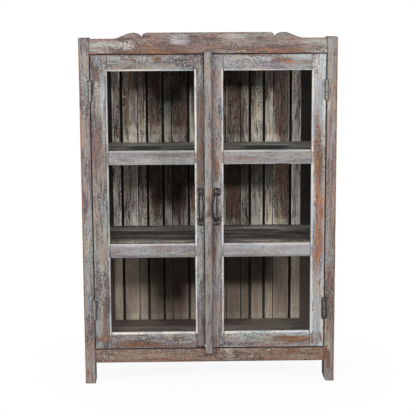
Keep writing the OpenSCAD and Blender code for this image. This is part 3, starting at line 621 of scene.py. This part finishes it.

# Shelves, floor and top: three boards each, laid on cleats that are screwed to the side rails. The shelves and the
# floor are grey and dusty, with painted shadows as dark patches on their tops; the top is painted like the rails,
# and the cleats are raw.
shelf_wood = painted_wood("shelf_wood", level, size=3.0, keep=0.3, edge_wear=0.05, scaly=0.5, streaky=2.2,
                          spread=0.6, dust=(0.15, 0.118, 0.098), low_down=0.6, pale=(0.40, 0.39, 0.36),
                          cool=(0.32, 0.315, 0.295), paint=(0.155, 0.15, 0.142), warm=(0.165, 0.15, 0.13),
                          grime=(0.032, 0.028, 0.024), stain=(0.11, 0.08, 0.065), wood=(0.12, 0.078, 0.058),
                          dark=(0.06, 0.042, 0.034), pits=(0.02, 0.018, 0.016))
for node, loss, pale, shelf_shadows in (
        ("upper_shelf", 0.0, 0.0, ((-0.27, 0.0, 0.07, 0.05, 0.85), (-0.10, -0.08, 0.07, 0.05, 0.85),
                                   (0.25, 0.0, 0.09, 0.05, 0.95))),
        ("lower_shelf", -0.12, 0.08, ((-0.26, 0.02, 0.07, 0.03, 0.8), (-0.09, -0.1, 0.08, 0.03, 0.7),
                                      (0.22, 0.06, 0.08, 0.03, 0.9), (0.36, 0.0, 0.05, 0.03, 0.65))),
        ("floor_boards", 0.0, 0.0, ((-0.22, 0.0, 0.08, 0.05, 0.55), (0.23, 0.02, 0.09, 0.05, 0.6)))):
    old_board(node, shelf_wood, pitch=0.02, loss=loss, pale=pale, shelf_shadows=shelf_shadows)
old_board("top_boards", level_paint, pitch=0.024)
deep_raw = painted_wood("deep_raw_wood", deep, **raw_wood)
for node in ("left_cleats", "right_cleats"):
    old_board(node, deep_raw, pitch=0.03)

# Doors: mortised stiles and tenoned rails, with a chamfer round each of the three lights and a strip over the gap.
# The paint is worn to the wood in patches where hands, hinges and wet floors reached it.
patches = {
    "left_door_hinge_stile": ((-0.460, 1.327, 0.010, 0.03, 0.9), (-0.463, 1.025, 0.016, 0.075, 0.45),
                              (-0.446, 0.290, 0.007, 0.055, 0.6), (-0.458, 0.197, 0.03, 0.014, 0.7),
                              (-0.450, 1.24, 0.02, 0.05, -0.3)),
    "left_door_bottom_rail": ((-0.317, 0.173, 0.09, 0.011, 0.8), (-0.2, 0.168, 0.16, 0.012, 0.35)),
    "left_door_meeting_stile": ((-0.037, 1.03, 0.013, 0.2, 0.75),),
    "left_door_top_rail": ((-0.215, 1.380, 0.014, 0.009, 0.8),),
    "right_door_top_rail": ((0.303, 1.377, 0.035, 0.010, 0.8),),
    "right_door_hinge_stile": ((0.454, 0.98, 0.012, 0.16, 0.6), (0.462, 0.74, 0.012, 0.2, 0.6),
                               (0.447, 0.6, 0.010, 0.1, 0.35), (0.457, 0.80, 0.022, 0.45, 0.2),
                               (0.455, 1.365, 0.03, 0.03, -0.4), (0.455, 0.193, 0.022, 0.03, 0.5)),
    "right_door_bottom_rail": ((0.352, 0.190, 0.075, 0.009, 1.0), (0.40, 0.172, 0.06, 0.008, 0.7),
                               (0.2, 0.168, 0.13, 0.010, 0.4)),
    "right_door_meeting_stile": ((0.022, 0.61, 0.007, 0.11, 0.85), (0.033, 0.925, 0.009, 0.04, 0.8)),
}
paleness = {"left_door_hinge_stile": -0.14, "left_door_top_rail": -0.26, "left_door_bottom_rail": -0.08,
            "left_door_meeting_stile": -0.1, "left_door_upper_rail": -0.14, "left_door_lower_rail": -0.08,
            "right_door_upper_rail": -0.1, "right_door_hinge_stile": 0.29, "right_door_lower_rail": 0.15,
            "right_door_top_rail": 0.05, "right_door_bottom_rail": 0.08}
smooth_paint = painted_wood("smooth_paint", level, scaly=0.5, streaky=0.8, pale=(0.37, 0.36, 0.355),
                            cool=(0.31, 0.322, 0.338), paint=(0.237, 0.238, 0.24), warm=(0.235, 0.226, 0.22),
                            grime=(0.125, 0.108, 0.1))
for side, stile_loss in (("left", -0.09), ("right", 0.0)):
    for place, paint, loss in (
            ("hinge_stile", upright_paint, stile_loss), ("meeting_stile", upright_paint, stile_loss),
            ("top_rail", level_paint, 0.0), ("upper_rail", smooth_paint, 0.0),
            ("lower_rail", smooth_paint, 0.0), ("bottom_rail", level_paint, 0.0)):
        node = f"{side}_door_{place}"
        old_board(node, paint, depth=0.0008, loss=loss, pale=paleness.get(node, 0.0), bare=patches.get(node, ()))
    old_board(f"{side}_door_beads", upright_paint, pitch=0.03, depth=0.0004)
strip_paint = painted_wood("strip_paint", upright, scaly=0.7, pale=(0.43, 0.41, 0.36), cool=(0.31, 0.335, 0.335),
                           paint=(0.205, 0.208, 0.198), warm=(0.225, 0.208, 0.182))
old_board("right_door_cover_strip", strip_paint, pale=-0.05, bare=((0.009, 0.95, 0.002, 0.42, 0.7),))

# Glass: three old panes to a door, held in their rebates by the beads. They are thin and clear, with a little dust
# where they were last wiped and a few specks.
pane_glass, tree = blank_material("pane_glass")
wiped = noise_of(tree, own_place(tree), 9, 4, swirl=1.5)
specks = noise_of(tree, own_place(tree), 420, 1)
dust = sum_of(tree, "ADD", step_of(tree, wiped, 0.45, 0.75, 0.002, 0.016),
              step_of(tree, specks, 0.72, 0.78, 0.0, 0.015))
surface = put(tree, "ShaderNodeBsdfPrincipled",
              {"Base Color": (0.12, 0.115, 0.1, 1), "Roughness": 0.12, "Specular IOR Level": 0.3, "Alpha": dust})
put(tree, "ShaderNodeOutputMaterial", {"Surface": surface.outputs[0]})
for node in ("left_door_glass", "right_door_glass"):
    for slot in frame["nodes"][node].material_slots:
        slot.material = pane_glass


# Hinges: butt hinges of pressed brass, five knuckles to each, painted over with the doors and rubbed on the
# knuckles, with painted shade along their edges. Their leaves are let into the posts and the door stiles. The
# bottom right one is bare dark iron.
def cast(node, finish, cell, depth, lump):
    """Replaces a fitting's CAD mesh by a copy in small cells with softened edges and a lumpy skin; each point
    keeps its distance from the nearest edge of the fitting."""
    work = bmesh.new()
    work.from_mesh(frame["nodes"][node].data)
    bmesh.ops.remove_doubles(work, verts=work.verts, dist=1e-5)
    bends = [e for e in work.edges if e.is_manifold and abs(e.calc_face_angle_signed(0)) > 0.6]
    marks = [e.verts[0].co.lerp(e.verts[1].co, (i + 0.5) / steps) for e in bends
             for steps in [1 + int(e.calc_length() / cell)] for i in range(steps)]
    work.free()
    edges = KDTree(len(marks))
    for index, mark in enumerate(marks):
        edges.insert(mark, index)
    edges.balance()
    holder = set_up(node, frame["nodes"][node].data.copy())
    cells = holder.modifiers.new("cells", "REMESH")
    cells.mode, cells.voxel_size = "VOXEL", cell
    softened = holder.modifiers.new("softened", "SMOOTH")
    softened.factor, softened.iterations = 0.5, 2
    mesh = taken_from(holder)
    normals = [vertex.normal.copy() for vertex in mesh.vertices]
    near = mesh.attributes.new("arris", "FLOAT", "POINT")
    for vertex, normal in zip(mesh.vertices, normals):
        near.data[vertex.index].value = edges.find(vertex.co)[2]
        vertex.co += normal * depth * noise.noise(vertex.co / lump)
    mesh.materials.clear()
    mesh.materials.append(finish)
    mesh.polygons.foreach_set("material_index", [0] * len(mesh.polygons))
    mesh.polygons.foreach_set("use_smooth", [True] * len(mesh.polygons))
    stand_in("cast", node, mesh)


def metal(name, worn, skin, deep, metallic, rough, shade_rim, rusty_corner=False, shade_behind=None):
    """A metal whose middle faces are worn or chalky, and whose edges are painted dark for shade_rim metres as
    painted shade. With rusty_corner the one at the bottom right is bare dark iron; behind shade_behind, near the
    door, it is dark and mottled as painted shade."""
    material, tree = blank_material(name)
    here = own_place(tree)
    near = put(tree, "ShaderNodeAttribute", attribute_name="arris").outputs["Fac"]
    broad, fine = noise_of(tree, here, 140, 3, 0.6), noise_of(tree, here, 620, 2)
    # Painted shade: the edges stay dark, and the middle is lighter.
    uneven = sum_of(tree, "MULTIPLY_ADD", sum_of(tree, "SUBTRACT", broad, 0.5), 0.8 * shade_rim, near)
    middle = step_of(tree, uneven, 0.6 * shade_rim, 1.1 * shade_rim)
    rubbed = step_of(tree, sum_of(tree, "MULTIPLY_ADD", fine, 0.5, broad), 0.66, 0.86)
    colour = mix_of(tree, middle, deep, skin)
    colour = mix_of(tree, sum_of(tree, "MULTIPLY", rubbed, middle), colour, worn)
    x, y, z = put(tree, "ShaderNodeSeparateXYZ", [here]).outputs
    # Painted shade close to the door.
    if shade_behind:
        mottled = mix_of(tree, step_of(tree, broad, 0.4, 0.62), deep, skin)
        behind = step_of(tree, y, shade_behind - 0.002, shade_behind + 0.002, 0.0, 0.85)
        colour = mix_of(tree, behind, colour, mottled)
    if rusty_corner:
        there = sum_of(tree, "MULTIPLY", step_of(tree, x, 0.0, 0.1), step_of(tree, z, 0.6, 0.7, 1.0, 0.0))
        rust = mix_of(tree, step_of(tree, broad, 0.47, 0.58), (0.004, 0.003, 0.003), (0.17, 0.15, 0.135))
        colour = mix_of(tree, there, colour, rust)
    raised = put(tree, "ShaderNodeBump", {"Strength": 0.5, "Distance": 0.0006, "Height": fine})
    surface = put(tree, "ShaderNodeBsdfPrincipled",
                  {"Base Color": colour, "Metallic": sum_of(tree, "MULTIPLY", rubbed, metallic),
                   "Specular IOR Level": step_of(tree, middle, 0, 1, 0.1, 0.4),
                   "Roughness": step_of(tree, broad, 0.3, 0.7, rough - 0.1, rough + 0.1),
                   "Normal": raised.outputs[0]})
    put(tree, "ShaderNodeOutputMaterial", {"Surface": surface.outputs[0]})
    return material


painted_brass = metal("painted_brass", (0.27, 0.255, 0.22), (0.125, 0.118, 0.104), (0.025, 0.02, 0.018),
                      0.1, 0.7, 0.0009, rusty_corner=True)
for node in ("left_case_leaves", "right_case_leaves", "left_door_leaves", "right_door_leaves",
             "left_hinge_pins", "right_hinge_pins"):
    cast(node, painted_brass, 0.0008, 0.0003, 0.004)

# Pulls: cast iron straps that arch between two pads, each pad screwed to its meeting stile. Once painted, they are
# grey where hands rubbed them; their edges and their parts close to the door are painted dark as painted shade.
old_iron = metal("old_iron", (0.14, 0.134, 0.132), (0.07, 0.067, 0.066), (0.004, 0.003, 0.003), 0.3, 0.65, 0.0055,
                 shade_behind=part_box("left_door_pull")[1].y - 0.009)
for side in ("left", "right"):
    cast(f"{side}_door_pull", old_iron, 0.0009, 0.0009, 0.005)

# Turn button: a brass plate on a shouldered screw in the crest board, dull and brown, that turns down over the top
# rail of the right door.
dull_brass = metal("dull_brass", (0.25, 0.19, 0.125), (0.12, 0.094, 0.07), (0.02, 0.014, 0.011), 0.35, 0.55,
                   0.0018)
cast("turn_button", dull_brass, 0.0006, 0.0004, 0.004)
cast("turn_button_screw", dull_brass, 0.0006, 0.0002, 0.003)


# Nails and screws: cut nails in the top, the backing boards and the strip, and a screw through each pad of the
# pulls. Each body's heads are one mesh.
def heads_tree():
    """Sets a shallow domed head on every given point, turned to face the point's way out of the wood."""
    tree = new_tree("nail heads", "GeometryNodeTree",
                    [("Places", "Geometry"), ("Radius", "Float", 0.0025), ("Proud", "Float", 0.0007),
                     ("Seed", "Int", 3), ("Finish", "Material")], [("Heads", "Geometry")])
    given = put(tree, "NodeGroupInput").outputs
    dome = put(tree, "GeometryNodeMeshUVSphere", {"Segments": 12, "Rings": 6, "Radius": 1.0}).outputs[0]
    facing = put(tree, "GeometryNodeInputNamedAttribute", ["facing"], data_type="FLOAT_VECTOR").outputs[0]
    turned = put(tree, "FunctionNodeAlignRotationToVector", {"Vector": facing}, axis="Z").outputs[0]
    vary = put(tree, "FunctionNodeRandomValue", {2: 0.8, 3: 1.2, "Seed": given["Seed"]},
               data_type="FLOAT").outputs[1]
    wide = sum_of(tree, "MULTIPLY", given["Radius"], vary)
    size = put(tree, "ShaderNodeCombineXYZ", [wide, wide, given["Proud"]]).outputs[0]
    heads = put(tree, "GeometryNodeInstanceOnPoints",
                {"Points": given["Places"], "Instance": dome, "Rotation": turned, "Scale": size}).outputs[0]
    heads = put(tree, "GeometryNodeRealizeInstances", [heads]).outputs[0]
    heads = put(tree, "GeometryNodeSetMaterial", {"Geometry": heads, "Material": given["Finish"]}).outputs[0]
    put(tree, "NodeGroupOutput", [heads])
    return tree


def driven_in(body, name, finish, places, **settings):
    """Heads on one body; places holds each head's position and the way it faces."""
    points = bpy.data.meshes.new(name)
    points.from_pydata([place for place, facing in places], [], [])
    ways = points.attributes.new("facing", "FLOAT_VECTOR", "POINT")
    for index, (place, facing) in enumerate(places):
        ways.data[index].vector = facing
    heads = set_up(name, made_by(nail_heads, points, name, Finish=finish, **settings))
    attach(heads, body)


nail_heads = heads_tree()
rusty_iron = metal("rusty_iron", (0.20, 0.13, 0.09), (0.10, 0.055, 0.035), (0.03, 0.02, 0.016), 0.2, 0.75, 0.0004)
black_iron = metal("black_iron", (0.05, 0.04, 0.035), (0.012, 0.01, 0.01), (0.004, 0.003, 0.003), 0.2, 0.7, 0.0004)
front, up, back = (0, -1, 0), (0, 0, 1), (0, 1, 0)
low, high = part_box("top_boards")
span = high.y - low.y
nails = [((x, low.y + span * share, high.z), up) for x in (-0.486, 0.486)
         for share in (0.08, 0.26, 0.4, 0.6, 0.74, 0.92)]
low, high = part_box("backing_boards")
tall = (high.z - low.z) / 4
nails += [((x, high.y, low.z + tall * (i + share)), back) for i in range(4) for share in (0.2, 0.8)
          for x in (-0.405, -0.14, 0.14, 0.405)]
driven_in("case", "case_nails", rusty_iron, nails, Radius=0.0028, Seed=5)
low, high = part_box("right_door_cover_strip")
nails = [(((low.x + high.x) / 2 + 0.001, low.y, z), front) for z in (0.165, 0.47, 0.7, 1.02, 1.24, 1.385)]
driven_in("right_door", "strip_nails", rusty_iron, nails, Radius=0.002, Proud=0.0005, Seed=8)
for side in ("left", "right"):
    low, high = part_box(f"{side}_door_pull")
    x, y = high.x - 0.013, high.y - 0.004
    screws = [((x, y, z), front) for z in (low.z + 0.007, high.z - 0.007)]
    driven_in(f"{side}_door", f"{side}_pull_screws", black_iron, screws, Radius=0.0032, Proud=0.0016)
